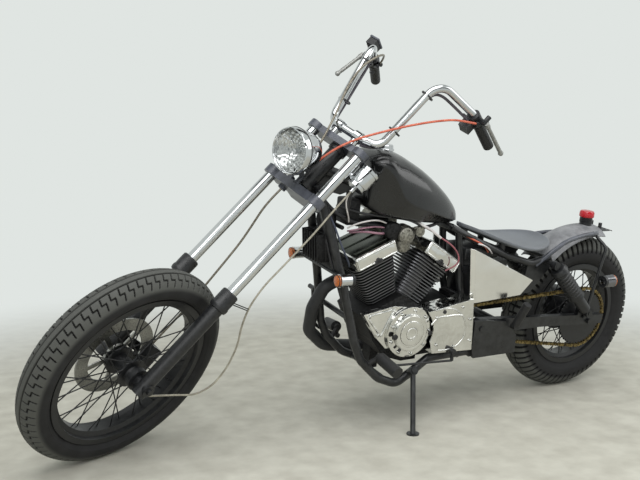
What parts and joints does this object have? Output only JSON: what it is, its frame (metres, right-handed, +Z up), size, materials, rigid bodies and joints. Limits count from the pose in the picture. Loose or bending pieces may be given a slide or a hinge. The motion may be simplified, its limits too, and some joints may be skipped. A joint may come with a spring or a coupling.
{
  "type": "chopper motorcycle",
  "caption": "Long-fork chopper motorcycle with an air-cooled V-twin engine, high bars, solo saddle and wire wheels, leaning on its side stand.",
  "frame": {"origin": "centre of the footprint of the bounding box, on the ground", "axes": "+X forward along the rear wheel's track, +Y to the rider's left, +Z up"},
  "size_m": [2.3867, 0.5684, 1.3215],
  "materials": {
    "gloss_black": "gloss black enamel",
    "satin_black": "satin black enamel",
    "frame_black": "black powder coat",
    "engine_black": "heat-proof black paint",
    "chrome_plate": "bright chrome",
    "polished_alloy": "polished",
    "cast_alloy": "as cast",
    "tyre_rubber": "matt",
    "grip_rubber": "matt",
    "saddle_leather": "satin black",
    "chain_steel": "gold, oily",
    "disc_steel": "ground",
    "cable_grey": "grey sheath",
    "hose_black": "black hose",
    "cable_red": "red sheath",
    "lamp_red": "red lens",
    "box_black": "satin"
  },
  "bodies": {
    "chassis": {"main_frame": "frame_black", "downtubes": "frame_black", "cradle": "frame_black", "seat_rails": "frame_black", "rear_frame": "frame_black", "swing_arm": "frame_black", "crankcase": "cast_alloy", "generator_cover": "chrome_plate", "sprocket_cover": "chrome_plate", "clutch_cover": "chrome_plate", "front_cylinder": "engine_black", "rear_cylinder": "engine_black", "rocker_covers": "chrome_plate", "carburettor": "cast_alloy", "exhaust_pipes": "satin_black", "fuel_tank": "gloss_black", "saddle": "saddle_leather", "side_covers": "polished_alloy", "electrics_box": "box_black", "shock_absorbers": "satin_black", "drive_chain": "chain_steel", "rear_fender": "gloss_black", "fender_struts": "frame_black", "tail_lamp": "lamp_red", "signal_lamps": "satin_black", "foot_pegs": "grip_rubber", "shift_linkage": "satin_black", "brake_pedal": "satin_black"},
    "steering": {"fork_trees": "satin_black", "fork_tubes": "chrome_plate", "fork_sliders": "satin_black", "headlight": "chrome_plate", "handlebar": "chrome_plate", "grips": "grip_rubber", "left_controls": "satin_black", "right_controls": "satin_black", "speedometer": "chrome_plate", "brake_caliper": "satin_black", "speedo_cable": "cable_grey", "brake_hose": "hose_black", "clutch_cable": "cable_red"},
    "front_wheel": {"front_tyre": "tyre_rubber", "front_rim": "satin_black", "front_hub": "satin_black", "front_disc": "disc_steel"},
    "rear_wheel": {"rear_tyre": "tyre_rubber", "rear_rim": "satin_black", "rear_hub": "satin_black"},
    "side_stand": {"side_stand": "frame_black"}
  },
  "joints": [
    {"name": "steering", "type": "hinge", "parent": "chassis", "child": "steering", "pos_m": [0.3481, 0.04524, 0.79655], "axis": [-0.6946, 0.1249, 0.7085], "range_deg": [-55, 0]},
    {"name": "front_wheel_spin", "type": "hinge", "parent": "steering", "child": "front_wheel", "pos_m": [0.87812, -0.02573, 0.29831], "axis": [-0.3322, 0.8178, -0.4699], "continuous": true},
    {"name": "rear_wheel_spin", "type": "hinge", "parent": "chassis", "child": "rear_wheel", "pos_m": [-0.88545, -0.04159, 0.30428], "axis": [0, 0.9848, -0.1736], "continuous": true},
    {"name": "side_stand_fold", "type": "hinge", "parent": "chassis", "child": "side_stand", "pos_m": [-0.06346, 0.08674, 0.19119], "axis": [0.1526, 0.9193, 0.3628], "range_deg": [0, 99.6]}
  ]
}
